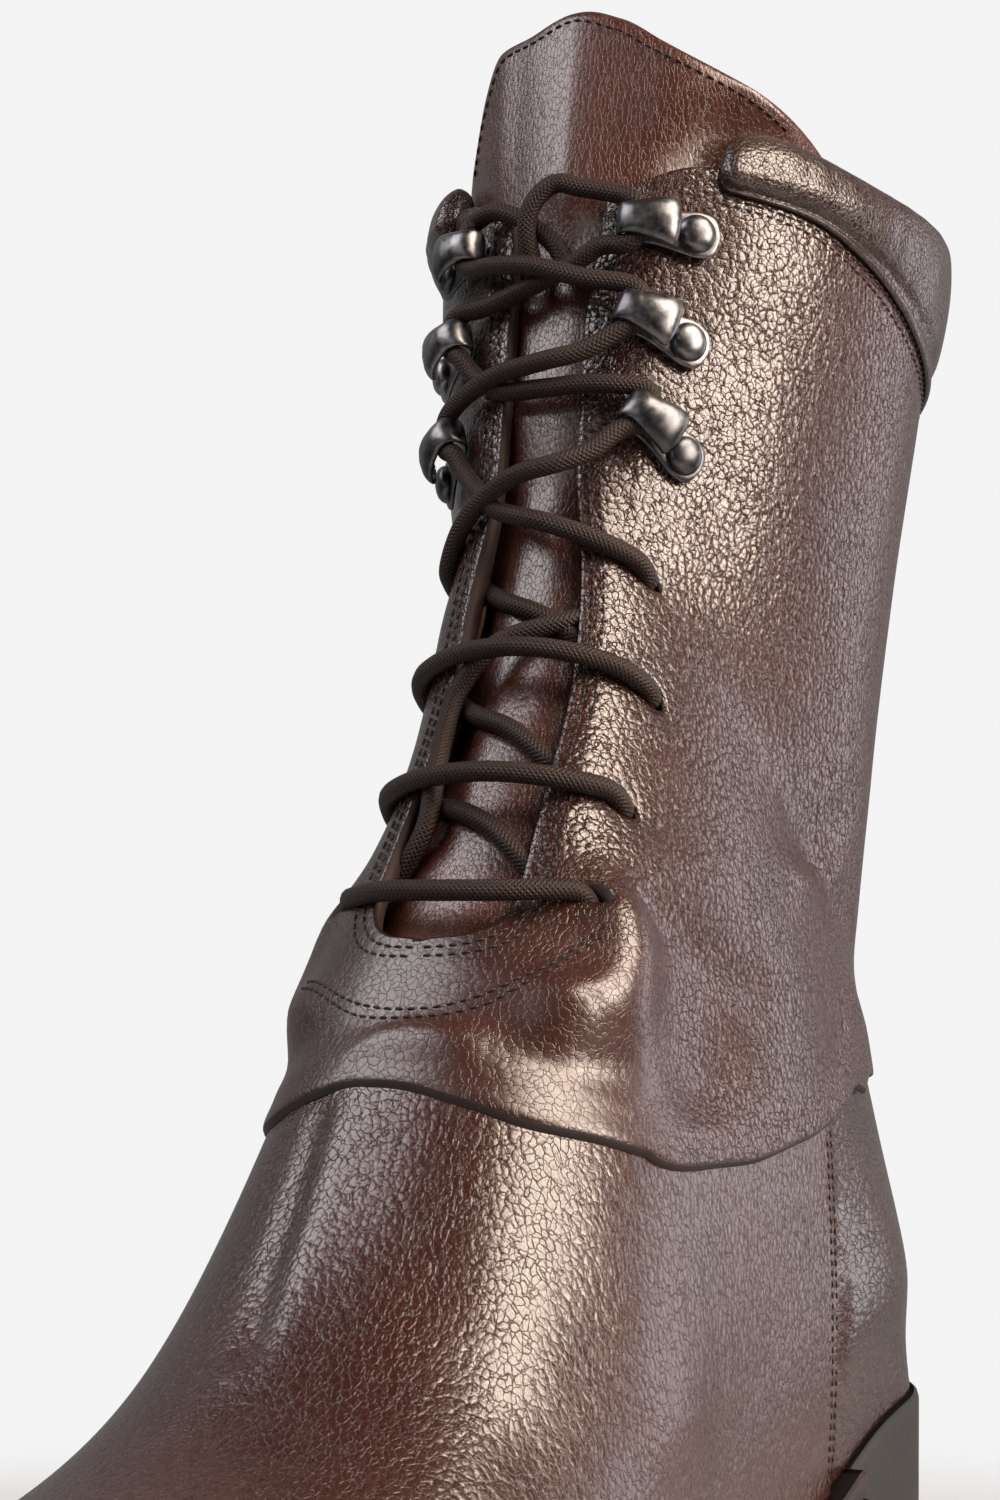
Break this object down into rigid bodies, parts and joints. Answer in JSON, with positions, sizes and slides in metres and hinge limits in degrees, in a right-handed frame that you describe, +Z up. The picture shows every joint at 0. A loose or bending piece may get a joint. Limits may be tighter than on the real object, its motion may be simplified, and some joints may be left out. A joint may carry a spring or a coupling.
{
  "type": "lug sole boot",
  "caption": "Lace-up leather ankle boot with a padded collar, tall tongue, speed hooks, high block heel and lugged rubber sole.",
  "frame": {"origin": "middle of the bounding box on the floor that the boot stands on", "axes": "+X to the toe, +Y to the wearer's left, which is the boot's outer side, +Z up"},
  "size_m": [0.28, 0.0994, 0.3159],
  "materials": {
    "leather_upper": "dark brown pebbled leather with a soft bronze sheen",
    "leather_tongue": "red brown leather with fine cracks",
    "leather_collar": "smooth dark brown padded leather",
    "leather_stay": "dark leather strip",
    "edge_leather": "dark dressed edge",
    "heel_cover": "dark rough scuffed heel cover",
    "rubber": "matt black rubber",
    "lining": "tan lining leather",
    "gunmetal": "aged gunmetal",
    "cord": "waxed woven round cord"
  },
  "bodies": {
    "root": {"upper": "leather_upper", "tongue": "leather_tongue", "collar_roll": "leather_collar", "back_stay": "leather_stay", "pull_tab": "leather_collar", "midsole": "edge_leather", "outsole": "rubber", "heel_block": "heel_cover", "heel_lift": "rubber", "insole": "lining", "hook_lateral_1": "gunmetal", "hook_lateral_2": "gunmetal", "hook_lateral_3": "gunmetal", "hook_medial_1": "gunmetal", "hook_medial_2": "gunmetal", "hook_medial_3": "gunmetal", "lace_bar_1": "cord", "lace_cross_1": "cord", "lace_bar_2": "cord", "lace_cross_2": "cord", "lace_bar_3": "cord", "lace_cross_3": "cord", "lace_knot": "cord"}
  },
  "joints": []
}
